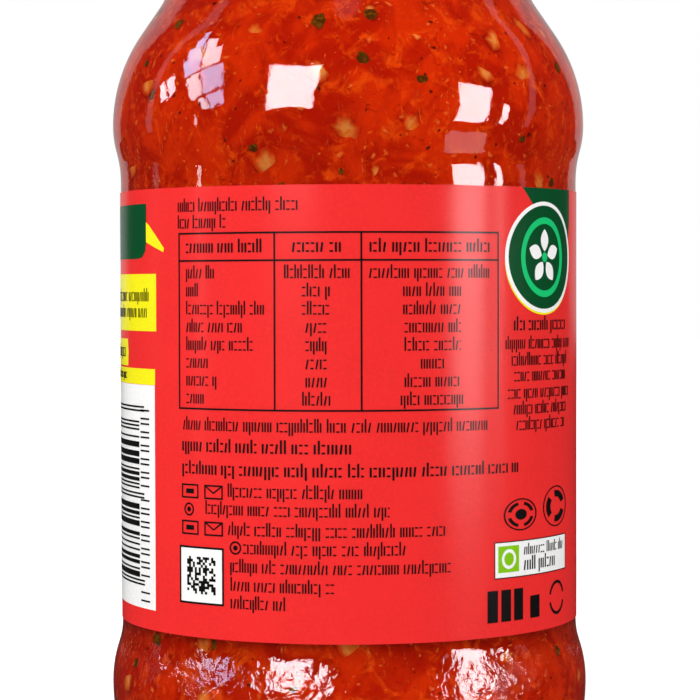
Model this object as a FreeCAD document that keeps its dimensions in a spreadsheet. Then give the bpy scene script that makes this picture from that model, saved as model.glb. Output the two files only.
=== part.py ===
import FreeCAD, Part

import math
import os

import Sketcher

# A glass jar of tomato and basil sauce, with a wrap-round paper label and a twist-off steel lid.
#
# The jar stands on its foot ring at z = 0 with its axis on Z, and the back of its label faces
# -Y. It is five pieces: the moulded glass jar, the sauce that fills it, the paper label round
# its waist, the pressed steel lid, and the soft ring that seals the lid to the glass rim.

# Driving sizes, in millimetres or degrees, each with what it is.
SIZES = {
    # the glass jar, from the foot up
    "foot_width": (3.0, "width of the flat ring that the jar stands on"),
    "punt_rise": (2.8, "how far the underside is pushed up at its middle"),
    "heel_round": (8.4, "radius of the heel, from the foot ring to the base bulge"),
    "heel_lean": (12.0, "angle through which the base bulge curves in above the heel"),
    "base_curve": (30.0, "upright radius of the base bulge below its widest point"),
    "base_step": (1.6, "how far the base bulge stands out beyond the label panel"),
    "base_round": (19.3, "convex radius between the base bulge and the label panel"),
    "base_hollow": (11.2, "concave radius between the base bulge and the label panel"),
    "panel_radius": (36.6, "outside radius of the glass behind the label"),
    "panel_height": (70.3, "height of the straight panel behind the label"),
    "shoulder_step": (1.21, "how far the shoulder bulge stands out beyond the panel"),
    "shoulder_hollow": (17.3, "concave radius between the panel and the shoulder bulge"),
    "shoulder_round": (14.85, "convex radius between the panel and the shoulder bulge"),
    "shoulder_curve": (25.65, "upright radius of the shoulder above its widest point"),
    "shoulder_slope": (5.55, "length of the straight cone between shoulder and neck"),
    "neck_hollow": (8.6, "concave radius between the cone and the neck"),
    "neck_radius": (28.7, "outside radius of the neck"),
    "neck_height": (1.2, "height of the straight neck below the bead"),
    "bead_round": (1.2, "section radius of the bead below the lid"),
    "bead_reach": (1.5, "how far the bead stands out beyond the neck"),
    "bead_hollow": (0.5, "concave radius below and above the bead"),
    "finish_step": (0.4, "how far the glass inside the lid stands out beyond the neck"),
    "finish_height": (10.4, "height of the straight glass from the bead to the rim"),
    "rim_round": (0.9, "round of the rim's two edges"),
    "wall": (2.45, "thickness of the glass wall"),
    "floor_height": (6.4, "height of the inside floor above the foot"),
    "floor_round": (4.8, "inside radius between floor and wall"),
    # thread ridges on the glass
    "ridge_reach": (1.5, "how far a thread ridge stands out"),
    "ridge_height": (2.0, "height of a thread ridge at its root"),
    "ridge_crest": (0.9, "height of a thread ridge at its crest"),
    "ridge_drop": (5.8, "depth of a thread ridge's middle below the rim"),
    "ridge_span": (58.0, "length of a thread ridge round the neck, as an angle"),
    "ridge_tilt": (2.5, "slope of a thread ridge"),
    "lug_count": (4, "number of thread ridges, and of the lid's lugs"),
    # sauce
    "fill_height": (1.4, "height of the sauce's surface above the foot of the neck"),
    "edge_round": (1.4, "radius of the sauce's upturned edge at the glass"),
    "edge_turn": (55.0, "angle through which that edge turns up"),
    # label
    "bare_below": (0.65, "bare glass between the panel's foot and the label"),
    "bare_above": (1.85, "bare glass between the label and the panel's top"),
    "paper": (0.12, "thickness of the label"),
    "lap_place": (62.0, "angle from +X of the label's free end"),
    "lap_span": (14.0, "overlap of the label's two ends, as an angle"),
    "lap_ramp": (2.0, "length over which the label climbs onto its own end"),
    # lid and seal
    "steel": (0.25, "thickness of the lid's steel"),
    "curl_round": (0.85, "outside radius of the rolled edge"),
    "curl_turn": (285.0, "angle through which the edge is rolled"),
    "curl_gap": (0.3, "clearance between the rolled edge and the thread ridges"),
    "lug_height": (1.0, "height of a lid lug"),
    "lug_span": (15.0, "width of a lid lug round the lid, as an angle"),
    "lug_gap": (0.3, "clearance of a lid lug from the glass, beside it and above it"),
    "lid_corner": (2.0, "outside radius between the lid's top and its skirt"),
    "rest_width": (5.3, "width of the lid's flat ring over the glass rim"),
    "panel_drop": (1.3, "depth of the lid's panel below that ring"),
    "panel_width": (10.0, "width of the lid's flat panel round the button"),
    "button_drop": (0.6, "depth of the safety button below the panel"),
    "press_round": (0.8, "inside radius of the steps pressed into the lid"),
    "press_slope": (40.0, "slope of those steps"),
    "seal_height": (0.8, "thickness of the sealing ring"),
    "seal_gap": (0.3, "distance of the sealing ring's edges from the lid's bends"),
}


class Size:
    """A length, with the expression over the spreadsheet's cells that gives it."""

    def __init__(self, value, text):
        self.value = value
        self.text = text

    def __add__(self, other):
        return Size(self.value + other.value, f"{self.text} + {other.text}")

    def __sub__(self, other):
        return Size(self.value - other.value, f"{self.text} - ({other.text})")

    def __mul__(self, number):
        return Size(self.value * number, f"({self.text}) * {number}")


def size(name):
    """One of the driving lengths."""
    return Size(SIZES[name][0], f"sizes.{name} * 1mm")


def angle(name):
    """One of the driving angles, in degrees."""
    return Size(SIZES[name][0], f"sizes.{name} * 1deg")


class Outline:
    """A closed section drawn like a pen stroke, in distance from the axis and height.

    Each line or arc starts where the last one ended. It runs on smoothly, held by a tangent
    constraint, unless it is given a new heading, in degrees, which makes a corner there.
    """

    CENTRE = 3
    ORIGIN = (-1, 1)
    ACROSS, UPRIGHT = -1, -2

    def __init__(self, sketch, x, y, heading=0.0):
        self.sketch = sketch
        self.at = FreeCAD.Vector(x, y, 0)
        self.heading = heading
        self.strokes = []

    def tie(self, kind, *items, to=None):
        """Adds a constraint, and sets it by the expression of a Size where one is given."""
        value = []
        if to is not None:
            value = [math.radians(to.value) if kind == "Angle" else to.value]
        index = self.sketch.addConstraint(Sketcher.Constraint(kind, *items, *value))
        if to is not None:
            self.sketch.setExpression(f"Constraints[{index}]", to.text)
        return index

    def add(self, geometry, start, end, smooth):
        """Adds a stroke, and ties its start to the end of the last one."""
        index = self.sketch.addGeometry(geometry, False)
        if self.strokes:
            self.tie("Tangent" if smooth else "Coincident", *self.strokes[-1][1], index, start)
        self.strokes.append(((index, start), (index, end)))
        return index

    def line(self, length, heading=None):
        smooth = heading is None
        self.heading = self.heading if smooth else heading
        turn = math.radians(self.heading)
        end = self.at + FreeCAD.Vector(math.cos(turn), math.sin(turn), 0) * length
        index = self.add(Part.LineSegment(self.at, end), 1, 2, smooth)
        self.at = end
        return index

    def arc(self, radius, sweep, heading=None):
        """An arc that turns left through sweep degrees, or right where sweep is negative."""
        smooth = heading is None
        self.heading = self.heading if smooth else heading
        side = 1 if sweep > 0 else -1
        begin = math.radians(self.heading - 90 * side)
        end = begin + math.radians(sweep)
        spoke = FreeCAD.Vector(math.cos(begin), math.sin(begin), 0) * radius.value
        centre = self.at - spoke
        circle = Part.Circle(centre, FreeCAD.Vector(0, 0, 1), radius.value)
        shape = Part.ArcOfCircle(circle, min(begin, end), max(begin, end))
        index = self.add(shape, *((1, 2) if side > 0 else (2, 1)), smooth)
        self.at = centre + FreeCAD.Vector(math.cos(end), math.sin(end), 0) * radius.value
        self.heading += sweep
        self.tie("Radius", index, to=radius)
        return index

    def close(self):
        self.tie("Coincident", *self.strokes[-1][1], *self.strokes[0][0])

    def end(self, index):
        return self.strokes[index][1]

    def away(self, point, distance):
        """Sets a point's distance from the axis."""
        self.tie("DistanceX", *self.ORIGIN, *point, to=distance)

    def above(self, point, height):
        """Sets a point's height, which may be negative."""
        self.tie("DistanceY", *self.ORIGIN, *point, to=height)

    def widest(self, arc, distance):
        """Makes an arc end where it stands upright, at a distance from the axis."""
        self.tie("Horizontal", arc, self.CENTRE, *self.end(arc))
        self.away(self.end(arc), distance)

    def upright(self, line, distance, height=None):
        """Makes a line upright, at a distance from the axis, and sets its length."""
        self.tie("Vertical", line)
        self.away((line, 1), distance)
        if height is not None:
            self.tie("Distance", line, to=height)

    def axis(self, length):
        """Closes the section along the axis, downwards."""
        line = self.line(length, -90)
        self.close()
        self.tie("PointOnObject", line, 1, self.UPRIGHT)
        self.tie("PointOnObject", line, 2, self.UPRIGHT)
        return line


def origin_feature(body, role):
    return next(feature for feature in body.Origin.OriginFeatures if feature.Role == role)


def new_sketch(body, name, role="XZ_Plane"):
    sketch = body.newObject("Sketcher::SketchObject", name)
    sketch.AttachmentSupport = [(origin_feature(body, role), "")]
    sketch.MapMode = "FlatFace"
    return sketch


def revolve(body, sketch, name, kind="PartDesign::Revolution", span=None):
    """Turns a sketch about its own upright axis, all the way round or through an angle."""
    feature = body.newObject(kind, name)
    feature.Profile = sketch
    feature.ReferenceAxis = (sketch, ["V_Axis"])
    feature.Angle = 360
    if span is not None:
        feature.setExpression("Angle", span.text)
        feature.Midplane = True
    return feature


def repeat_round(body, feature, name):
    """Repeats a feature round the axis, once for each lug."""
    pattern = body.newObject("PartDesign::PolarPattern", name)
    pattern.Originals = [feature]
    pattern.Axis = (origin_feature(body, "Z_Axis"), [""])
    pattern.Angle = 360
    pattern.setExpression("Occurrences", "sizes.lug_count")
    body.Tip = pattern


def double_bend(step, first, second):
    """The angle of an S of two arcs that ends a step beside where it started."""
    return math.degrees(math.acos(1 - step.value / (first.value + second.value)))


def shoulder_lean():
    """The angle that the cone between shoulder and neck makes with the axis."""
    rounds = (size("shoulder_curve") + size("neck_hollow")).value
    drop = (size("panel_radius") + size("shoulder_step") - size("neck_radius")).value
    slope = size("shoulder_slope").value
    lean = math.acos((rounds - drop) / math.hypot(rounds, slope)) - math.atan2(slope, rounds)
    return math.degrees(lean)


def glass_side(pen, inset):
    """The jar's side from its base bulge to its neck, moved in by inset from the outside."""
    def convex(name, sweep):
        return pen.arc(size(name) - inset, sweep)

    def concave(name, sweep):
        return pen.arc(size(name) + inset, -sweep)

    foot_turn = double_bend(size("base_step"), size("base_round"), size("base_hollow"))
    top_turn = double_bend(size("shoulder_step"), size("shoulder_round"), size("shoulder_hollow"))
    lean = shoulder_lean()
    convex("base_round", foot_turn)
    concave("base_hollow", foot_turn)
    panel = pen.line(size("panel_height").value)
    pen.upright(panel, size("panel_radius") - inset, size("panel_height"))
    concave("shoulder_hollow", top_turn)
    bulge = convex("shoulder_round", top_turn)
    pen.widest(bulge, size("panel_radius") + size("shoulder_step") - inset)
    convex("shoulder_curve", lean)
    cone = pen.line(size("shoulder_slope").value)
    pen.tie("Distance", cone, to=size("shoulder_slope"))
    concave("neck_hollow", lean)
    return panel


def outside_outline(body):
    """The outside of the glass, and the levels on it that other pieces are placed by."""
    sketch = new_sketch(body, "glass_outline")
    widest = size("panel_radius") + size("base_step")
    lean = math.radians(SIZES["heel_lean"][0])
    curve, heel = size("base_curve").value, size("heel_round").value
    foot = widest.value - curve * (1 - math.cos(lean)) - heel * math.cos(lean)
    inner = foot - size("foot_width").value
    rise = size("punt_rise").value
    dome = (inner**2 + rise**2) / (2 * rise)
    sweep = math.degrees(math.asin(inner / dome))

    pen = Outline(sketch, 0, rise)
    arch = Part.Circle(FreeCAD.Vector(0, rise - dome, 0), FreeCAD.Vector(0, 0, 1), dome)
    underside = pen.add(
        Part.ArcOfCircle(arch, math.radians(90 - sweep), math.radians(90)), 2, 1, False
    )
    pen.tie("PointOnObject", underside, pen.CENTRE, pen.UPRIGHT)
    pen.at = FreeCAD.Vector(inner, 0, 0)
    ring = pen.line(size("foot_width").value, 0)
    pen.tie("Horizontal", ring)
    pen.tie("PointOnObject", ring, 1, pen.ACROSS)
    pen.tie("Distance", ring, to=size("foot_width"))
    pen.arc(size("heel_round"), 90 - SIZES["heel_lean"][0])
    base = pen.arc(size("base_curve"), SIZES["heel_lean"][0])
    pen.tie("Angle", base, to=angle("heel_lean"))
    pen.widest(base, widest)
    panel = glass_side(pen, size("wall") * 0)
    neck = pen.line(size("neck_height").value)
    pen.upright(neck, size("neck_radius"), size("neck_height"))

    reach, round_, hollow = size("bead_reach"), size("bead_round"), size("bead_hollow")
    lower = double_bend(reach, round_, hollow)
    upper = double_bend(reach - size("finish_step"), round_, hollow)
    pen.arc(hollow, -lower)
    bead = pen.arc(round_, lower + upper)
    pen.away((bead, pen.CENTRE), size("neck_radius") + reach - round_)
    pen.arc(hollow, -upper)
    finish = pen.line(size("finish_height").value)
    pen.upright(finish, size("neck_radius") + size("finish_step"), size("finish_height"))
    rim = pen.line(pen.at.x, 180)
    pen.tie("Horizontal", rim)
    axis = pen.axis(pen.at.y - rise)
    pen.above((axis, 2), size("punt_rise"))

    levels = {}
    marks = {"bulge": pen.end(base), "panel": (panel, 1), "neck": (neck, 1), "rim": (finish, 2)}
    for name, point in marks.items():
        height = sketch.getPoint(*point).y
        mark = Sketcher.Constraint("DistanceY", *pen.ORIGIN, *point, height)
        index = sketch.addConstraint(mark)
        sketch.setDriving(index, False)
        sketch.renameConstraint(index, f"{name}_level")
        levels[name] = Size(height, f"glass_outline.Constraints.{name}_level")
    return sketch, levels


def inside_outline(body, name, levels):
    """The inside of the glass, from the floor to the neck, and the pen that drew it."""
    sketch = new_sketch(body, name)
    wall, soft = size("wall"), size("floor_round")
    curve = size("base_curve") - wall
    widest = size("panel_radius") + size("base_step") - wall
    dip = (levels["bulge"] - size("floor_height") - soft).value
    between = (curve - soft).value
    turn = math.degrees(math.asin(dip / between))
    flat = (widest - curve).value + math.sqrt(between**2 - dip**2)

    pen = Outline(sketch, 0, size("floor_height").value)
    floor = pen.line(flat, 0)
    pen.tie("Horizontal", floor)
    pen.above((floor, 1), size("floor_height"))
    pen.arc(soft, 90 - turn)
    base = pen.arc(curve, turn)
    pen.widest(base, widest)
    pen.above(pen.end(base), levels["bulge"])
    glass_side(pen, wall)
    return sketch, pen


def make_jar(doc):
    """The moulded glass: one revolved wall, with a rounded rim and short thread ridges."""
    body = doc.addObject("PartDesign::Body", "jar")
    sketch, levels = outside_outline(body)
    revolve(body, sketch, "outside")
    sketch, pen = inside_outline(body, "hollow_outline", levels)
    above_rim = levels["rim"] + size("wall")
    neck = pen.line(above_rim.value - pen.at.y)
    pen.upright(neck, size("neck_radius") - size("wall"))
    pen.above((neck, 2), above_rim)
    pen.tie("Horizontal", pen.line(pen.at.x, 180))
    pen.axis(above_rim.value - size("floor_height").value)
    hollow = revolve(body, sketch, "hollow", "PartDesign::Groove")
    doc.recompute()

    rim = body.newObject("PartDesign::Fillet", "rim")
    rim.Base = (hollow, edges_at(hollow, levels["rim"].value))
    rim.setExpression("Radius", size("rim_round").text)

    root = size("neck_radius") + size("finish_step")
    section = new_sketch(body, "ridge_section")
    tilt_section(section, levels["rim"] - size("ridge_drop"))
    draw_ridge(section, root - size("rim_round"), root + size("ridge_reach"))
    ridge = revolve(body, section, "ridge", span=angle("ridge_span"))
    repeat_round(body, ridge, "ridges")
    return body, levels


def edges_at(feature, height):
    """The names of a feature's edges that lie wholly at one height."""
    names = []
    for number, edge in enumerate(feature.Shape.Edges, start=1):
        box = edge.BoundBox
        if abs(box.ZMin - height) < 0.01 and abs(box.ZMax - height) < 0.01:
            names.append(f"Edge{number}")
    return names


def tilt_section(sketch, height):
    """Lifts a sketch, and leans its upright axis over as the thread's slope asks."""
    lean = FreeCAD.Rotation(FreeCAD.Vector(1, 0, 0), SIZES["ridge_tilt"][0])
    sketch.AttachmentOffset = FreeCAD.Placement(FreeCAD.Vector(0, height.value, 0), lean)
    sketch.setExpression("AttachmentOffset.Base.y", height.text)
    sketch.setExpression("AttachmentOffset.Rotation.Angle", angle("ridge_tilt").text)


def draw_ridge(sketch, root, crest):
    """The section of a thread ridge: wide where it leaves the glass, narrow at its crest."""
    tall, short = size("ridge_height"), size("ridge_crest")
    width = (crest - root).value
    flank = math.hypot(width, (tall - short).value / 2)
    slope = math.degrees(math.atan2((tall - short).value / 2, width))
    pen = Outline(sketch, root.value, -tall.value / 2)
    pen.line(flank, slope)
    outer = pen.line(short.value, 90)
    pen.line(flank, 180 - slope)
    inner = pen.line(tall.value, -90)
    pen.close()
    for line, distance, height in ((outer, crest, short), (inner, root, tall)):
        pen.tie("Symmetric", line, 1, line, 2, pen.ACROSS)
        pen.away((line, 1), distance)
        pen.tie("Distance", line, to=height)


def make_sauce(doc, levels):
    """The sauce, which fills the jar to just above the foot of the neck."""
    body = doc.addObject("PartDesign::Body", "sauce")
    sketch, pen = inside_outline(body, "sauce_outline", levels)
    surface = levels["neck"] + size("fill_height")
    turn = SIZES["edge_turn"][0]
    climb = size("edge_round").value * (1 - math.cos(math.radians(turn)))
    neck = pen.line(surface.value + climb - pen.at.y)
    pen.upright(neck, size("neck_radius") - size("wall"))
    edge = pen.arc(size("edge_round"), -turn, 180 + turn)
    pen.tie("Angle", edge, to=angle("edge_turn"))
    top = pen.line(pen.at.x)
    pen.tie("Horizontal", top)
    pen.above((top, 2), surface)
    pen.axis(pen.at.y - size("floor_height").value)
    revolve(body, sketch, "filling")
    return body


def make_label(doc, levels):
    """The paper label, wrapped once round the panel with its free end glued over the start."""
    body = doc.addObject("PartDesign::Body", "label")
    foot = levels["panel"] + size("bare_below")
    height = size("panel_height") - size("bare_below") - size("bare_above")
    body.setExpression("Placement.Base.z", foot.text)
    sketch = new_sketch(body, "wrap", "XY_Plane")
    glass = size("panel_radius")
    once, twice = glass + size("paper"), glass + size("paper") * 2
    centre, up = FreeCAD.Vector(0, 0, 0), FreeCAD.Vector(0, 0, 1)
    free_end = math.radians(SIZES["lap_place"][0])
    lap = math.radians(SIZES["lap_span"][0])
    ramp = math.sqrt(size("lap_ramp").value ** 2 - size("paper").value ** 2) / once.value

    def at(radius, turn):
        return FreeCAD.Vector(math.cos(turn), math.sin(turn), 0) * radius.value

    def arc(radius, start, end):
        return Part.ArcOfCircle(Part.Circle(centre, up, radius.value), start, end)

    full = free_end + 2 * math.pi
    pen = Outline(sketch, 0, 0)
    under = pen.add(arc(once, free_end, full - lap - ramp), 1, 2, False)
    climb = pen.add(
        Part.LineSegment(at(once, full - lap - ramp), at(twice, full - lap)), 1, 2, False
    )
    over = pen.add(arc(twice, full - lap, full), 1, 2, False)
    edge = pen.add(Part.LineSegment(at(once, free_end), at(twice, free_end)), 2, 1, False)
    pen.close()
    inner = sketch.addGeometry(Part.Circle(centre, up, glass.value), False)
    for index, radius in ((under, once), (over, twice), (inner, glass)):
        pen.tie("Coincident", index, pen.CENTRE, *pen.ORIGIN)
        pen.tie("Radius", index, to=radius)
    pen.tie("PointOnObject", *pen.ORIGIN, edge)
    pen.tie("Angle", edge, to=angle("lap_place"))
    pen.tie("Angle", over, to=angle("lap_span"))
    pen.tie("Distance", climb, to=size("lap_ramp"))
    wrap = body.newObject("PartDesign::Pad", "paper_wrap")
    wrap.Profile = sketch
    wrap.setExpression("Length", height.text)
    return body


def curl_middle():
    """Distance from the axis, and depth below the rim, of the middle of the rolled edge."""
    crest = size("neck_radius") + size("finish_step") + size("ridge_reach")
    across = crest + size("curl_gap") + size("curl_round")
    depth = size("ridge_drop") + size("ridge_height") * 0.5 + size("lug_gap")
    return across, depth + size("lug_height") * 0.5


def make_lid(doc, levels):
    """The lid, pressed from one thin sheet, with its edge rolled in and pinched into lugs.

    It is drawn with the glass rim at height 0. Its top side is drawn out from the axis to the
    rolled edge, and its underside back again, one thickness of steel to the right.
    """
    body = doc.addObject("PartDesign::Body", "lid")
    body.setExpression("Placement.Base.z", levels["rim"].text)
    sketch = new_sketch(body, "pressing")
    steel, press = size("steel"), size("press_round")
    turn = SIZES["press_slope"][0]
    lean = math.radians(turn)
    across, depth = curl_middle()
    skirt = across + size("curl_round")
    rest = size("seal_height") + steel
    bends = (press * 2 + steel).value
    steps = [size("button_drop"), size("panel_drop")]
    slopes = [(drop.value - bends * (1 - math.cos(lean))) / math.sin(lean) for drop in steps]
    runs = [bends * math.sin(lean) + slope * math.cos(lean) for slope in slopes]
    flats = [size("panel_width"), size("rest_width")]
    button = skirt.value - size("lid_corner").value - sum(runs) - sum(f.value for f in flats)
    drop = (depth + rest - size("lid_corner")).value

    # each stroke of the top side: its length or radius, and for an arc how far it turns
    strokes = [(button, None)]
    for slope, flat in zip(slopes, flats):
        strokes += [(press, turn), (slope, None), (press + steel, -turn), (flat.value, None)]
    strokes += [(size("lid_corner"), -90), (drop, None)]
    strokes += [(size("curl_round"), -SIZES["curl_turn"][0])]

    pen = Outline(sketch, 0, rest.value - sum(step.value for step in steps))
    top = [
        pen.line(length) if sweep is None else pen.arc(length, sweep)
        for length, sweep in strokes
    ]
    tip = pen.line(steel.value, pen.heading - 90)
    pen.heading -= 90
    under = []
    for number, (length, sweep) in reversed(list(enumerate(strokes))):
        heading = pen.heading if number == len(strokes) - 1 else None
        if sweep is None:
            under.append(pen.line(length))
            continue
        radius = length + steel if sweep > 0 else length - steel
        under.append(pen.arc(radius, -sweep, heading))
        pen.tie("Coincident", under[-1], pen.CENTRE, top[number], pen.CENTRE)
    pen.line(steel.value, 90)
    pen.close()

    flat_lines, slope_lines, (skirt_line, curl) = top[0:9:4], top[2:7:4], top[-2:]
    for line in flat_lines + [under[-1]]:
        pen.tie("Horizontal", line)
    pen.tie("PointOnObject", flat_lines[0], 1, pen.UPRIGHT)
    pen.tie("PointOnObject", *pen.end(under[-1]), pen.UPRIGHT)
    for line, flat in zip(flat_lines[1:], flats):
        pen.tie("Distance", line, to=flat)
    for lower, upper, step in zip(flat_lines, flat_lines[1:], steps):
        pen.tie("DistanceY", lower, 2, upper, 1, to=step)
    for line in slope_lines:
        pen.tie("Angle", line, to=angle("press_slope"))
    pen.above((flat_lines[-1], 2), rest)
    pen.upright(skirt_line, skirt)
    pen.tie("DistanceY", curl, pen.CENTRE, *pen.ORIGIN, to=depth)
    pen.tie("Angle", curl, to=angle("curl_turn"))
    pen.tie("PointOnObject", curl, pen.CENTRE, tip)
    revolve(body, sketch, "pressed_sheet")

    section = new_sketch(body, "lug_section")
    nose = size("neck_radius") + size("finish_step") + size("lug_gap")
    draw_lug(section, nose, across, depth * -1)
    lug = revolve(body, section, "lug", span=angle("lug_span"))
    repeat_round(body, lug, "lugs")
    return body


def draw_lug(sketch, nose, root, level):
    """The section of a lid lug: a rounded nose that reaches in from the rolled edge."""
    radius = size("lug_height") * 0.5
    length = (root - nose - radius).value
    pen = Outline(sketch, root.value, (level - radius).value)
    lower = pen.line(length, 180)
    tip = pen.arc(radius, -180)
    upper = pen.line(length)
    back = pen.line(size("lug_height").value, -90)
    pen.close()
    pen.tie("Horizontal", lower)
    pen.tie("Horizontal", upper)
    pen.away((tip, pen.CENTRE), nose + radius)
    pen.above((tip, pen.CENTRE), level)
    pen.upright(back, root)


def make_seal(doc, levels):
    """The soft ring cast into the lid's channel, which the glass rim presses against."""
    body = doc.addObject("PartDesign::Body", "lid_seal")
    body.setExpression("Placement.Base.z", levels["rim"].text)
    sketch = new_sketch(body, "seal_section")
    across, _ = curl_middle()
    outer = across + size("curl_round") - size("lid_corner") - size("seal_gap")
    width = size("rest_width") - size("seal_gap") * 2
    inner = outer - width
    pen = Outline(sketch, inner.value, 0)
    lower = pen.line(width.value, 0)
    right = pen.line(size("seal_height").value, 90)
    upper = pen.line(width.value, 180)
    left = pen.line(size("seal_height").value, -90)
    pen.close()
    pen.tie("Horizontal", lower)
    pen.tie("Horizontal", upper)
    pen.tie("PointOnObject", lower, 1, pen.ACROSS)
    pen.upright(right, outer, size("seal_height"))
    pen.upright(left, inner)
    revolve(body, sketch, "seal_ring")
    return body


def check(doc, bodies):
    """Stops with a plain message if a feature failed or a piece isn't one sound solid."""
    for item in doc.Objects:
        if {"Invalid", "Error"} & set(item.State):
            raise RuntimeError(f"{item.Name} failed: {item.State}, {item.getStatusString()}")
    for body in bodies:
        shape = body.Shape
        if shape.isNull() or not shape.isValid() or len(shape.Solids) != 1:
            raise RuntimeError(f"{body.Label} isn't one sound solid")


def main():
    doc = FreeCAD.newDocument("sauce_jar")
    sheet = doc.addObject("Spreadsheet::Sheet", "sizes")
    for row, (name, (value, meaning)) in enumerate(SIZES.items(), start=1):
        sheet.set(f"A{row}", name)
        sheet.set(f"B{row}", str(value))
        sheet.setAlias(f"B{row}", name)
        sheet.set(f"C{row}", meaning)
    doc.recompute()
    jar, levels = make_jar(doc)
    bodies = [
        jar,
        make_sauce(doc, levels),
        make_label(doc, levels),
        make_lid(doc, levels),
        make_seal(doc, levels),
    ]
    doc.recompute()
    check(doc, bodies)
    os.makedirs("parts", exist_ok=True)
    for body in bodies:
        body.Shape.exportStep(f"parts/{body.Label}.step")
        box = body.Shape.BoundBox
        print(f"{body.Label}: {body.Shape.Volume / 1000:.2f} ml, "
              f"radius {box.XMax:.2f}, height {box.ZMin:.2f} to {box.ZMax:.2f}")


main()
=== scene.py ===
"""A shut glass jar of tomato and basil sauce with a printed paper label and a twist-off lid."""
import math
import random

import bmesh
import bpy
from mathutils import Matrix, Vector, noise


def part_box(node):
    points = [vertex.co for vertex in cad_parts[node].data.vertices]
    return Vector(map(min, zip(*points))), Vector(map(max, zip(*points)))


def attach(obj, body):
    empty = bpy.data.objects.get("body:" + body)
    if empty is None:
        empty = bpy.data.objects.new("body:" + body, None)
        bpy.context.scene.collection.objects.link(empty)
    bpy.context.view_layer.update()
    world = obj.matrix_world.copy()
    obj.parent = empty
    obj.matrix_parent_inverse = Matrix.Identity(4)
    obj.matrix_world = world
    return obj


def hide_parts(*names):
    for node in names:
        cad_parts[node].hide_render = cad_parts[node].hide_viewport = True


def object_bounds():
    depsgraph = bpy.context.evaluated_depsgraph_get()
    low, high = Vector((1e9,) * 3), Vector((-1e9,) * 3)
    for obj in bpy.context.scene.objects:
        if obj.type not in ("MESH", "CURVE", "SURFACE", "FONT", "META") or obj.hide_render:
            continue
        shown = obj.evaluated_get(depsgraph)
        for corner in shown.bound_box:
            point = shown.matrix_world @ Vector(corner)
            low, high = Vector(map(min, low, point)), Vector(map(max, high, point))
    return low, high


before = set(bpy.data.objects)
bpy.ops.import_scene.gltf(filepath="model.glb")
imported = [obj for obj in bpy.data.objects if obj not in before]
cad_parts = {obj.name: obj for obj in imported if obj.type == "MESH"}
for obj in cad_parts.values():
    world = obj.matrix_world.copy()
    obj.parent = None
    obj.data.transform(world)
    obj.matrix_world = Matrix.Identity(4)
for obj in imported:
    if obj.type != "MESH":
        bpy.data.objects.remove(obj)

cad_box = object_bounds()

# ---- The studio -------------------------------------------------------------------------
# A pale table that runs out to white, a camera level with the middle of the label, and soft
# light: softboxes, curtains and a leaded window that the glass mirrors, and a fill all round.
low, high = (Vector(corner) for corner in cad_box)
middle = (low + high) / 2
overall = high - low

studio = bpy.context.scene
studio.view_settings.view_transform = "Standard"


def put_in(name, data):
    """A new object, put in the studio."""
    thing = bpy.data.objects.new(name, data)
    studio.collection.objects.link(thing)
    return thing


eye = Vector((0.0, -0.3985, 0.07597))
eye_pitch = math.radians(-1.46)
eye_roll = math.radians(-0.145)
camera = put_in("camera", bpy.data.cameras.new("camera"))
camera.data.lens = 126.63
camera.data.sensor_width = 36.0
camera.data.shift_x = 0.0019
camera.data.clip_start = 0.01
camera.matrix_world = (
    Matrix.Translation(eye)
    @ Matrix.Rotation(math.radians(90) + eye_pitch, 4, "X")
    @ Matrix.Rotation(eye_roll, 4, "Z")
)
studio.camera = camera


def toward(around, up):
    """The direction at so many degrees round from the front, and so many above the table."""
    around, up = math.radians(around), math.radians(up)
    return Vector((
        math.sin(around) * math.cos(up), -math.cos(around) * math.cos(up), math.sin(up)
    ))


def softbox(name, around, up, wide, tall, radiance, tint=(1, 1, 1), mirrored=True, roll=0.0,
            aside=(0.0, 0.0), distance=1.2):
    """A rectangular lamp that faces the jar, its size given as angles seen from the jar. One
    that is mirrored adds highlights alone, and aside moves it over in its own plane."""
    def spread(degrees):
        return 2 * distance * math.tan(math.radians(degrees) / 2)

    data = bpy.data.lights.new(name, "AREA")
    data.shape = "RECTANGLE"
    data.size = spread(wide)
    data.size_y = spread(tall)
    data.energy = radiance * math.pi * data.size * data.size_y
    data.color = tint
    lamp = put_in(name, data)
    facing = toward(around, up).to_track_quat("Z", "Y").to_matrix().to_4x4()
    facing = facing @ Matrix.Rotation(math.radians(roll), 4, "Z")
    place = Vector((spread(aside[0]), spread(aside[1]), distance))
    lamp.matrix_world = Matrix.Translation(aim) @ facing @ Matrix.Translation(place)
    lamp.visible_camera = False
    lamp.visible_transmission = False
    lamp.visible_diffuse = not mirrored
    lamp.visible_glossy = mirrored


aim = Vector((0, 0, middle.z + overall.z * 0.15))
cool_light = (0.90, 0.97, 1.0)
softbox("softbox_front", -27.5, 21, 22, 29, 21, tint=cool_light)
softbox("softbox_side", 61, 3, 17, 36, 19, tint=cool_light, roll=-14)
softbox("side_table_glow", 55, -14, 20, 7, 2, roll=4, distance=0.2)
softbox("lamp_side", 79, 2, 3.2, 15, 17, roll=-18)
softbox("fill_front", -25, 50, 80, 50, 1.42, mirrored=False)
softbox("fill_left", -80, 25, 50, 60, 0.25, mirrored=False)
softbox("fill_back", 180, 35, 80, 50, 0.3, mirrored=False)
curtain_light = (1.0, 0.90, 0.93)
softbox("curtain_left", -110, 22, 4.5, 66, 0.55, tint=curtain_light)
softbox("curtain_right", 104, 20, 5, 66, 0.6, tint=curtain_light, roll=-28)
softbox("window_sill", -77, -5, 1.6, 20, 9)

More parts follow.
